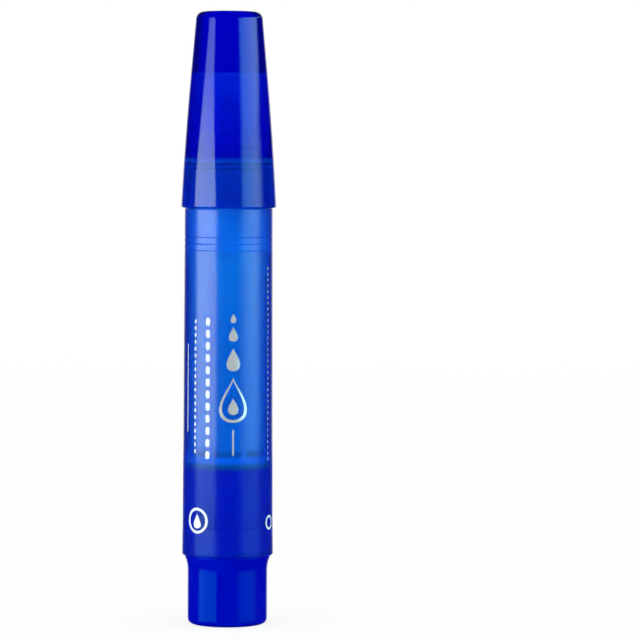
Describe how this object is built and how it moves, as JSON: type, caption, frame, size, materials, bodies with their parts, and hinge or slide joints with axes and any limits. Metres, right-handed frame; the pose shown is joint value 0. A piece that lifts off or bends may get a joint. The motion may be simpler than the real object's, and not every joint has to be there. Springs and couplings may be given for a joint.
{
  "type": "nail oil pen",
  "caption": "Capped felt-tip nail oil pen with a tapered glossy cap, frosted barrel, fibre reservoir and a pull-out tail plug that stores spare nibs.",
  "frame": {"origin": "middle of the tail's foot, on the surface that the pen stands on", "axes": "+Z along the pen from the tail to the cap, +X to the right of the pictured side, +Y away from the viewer"},
  "size_m": [0.0182, 0.0182, 0.1173],
  "materials": {
    "cap_plastic": "clear deep-blue gloss",
    "tail_plastic": "deep-blue semi-gloss",
    "barrel_plastic": "frosted translucent blue",
    "milky_plastic": "milky translucent",
    "nib_felt": "dense felt",
    "reservoir_fibre": "bonded fibre",
    "wrap_film": "clear film",
    "print_foil": "silver foil print",
    "print_ink": "white ink print"
  },
  "bodies": {
    "tail": {"tail_plug": "tail_plastic", "spare_nib_1": "nib_felt", "spare_nib_2": "nib_felt", "spare_nib_3": "nib_felt"},
    "barrel": {"barrel": "barrel_plastic", "nib_holder": "milky_plastic", "nib": "nib_felt", "reservoir_core": "reservoir_fibre", "reservoir_wrap": "wrap_film", "breather_tube": "milky_plastic"},
    "cap": {"cap_shell": "cap_plastic", "cap_liner": "milky_plastic"}
  },
  "joints": [
    {"name": "tail_plug_pull", "type": "slide", "parent": "tail", "child": "barrel", "axis": [0, 0, 1], "range_m": [0, 0.025]},
    {"name": "cap_pull", "type": "slide", "parent": "barrel", "child": "cap", "axis": [0, 0, 1], "range_m": [0, 0.035]}
  ]
}
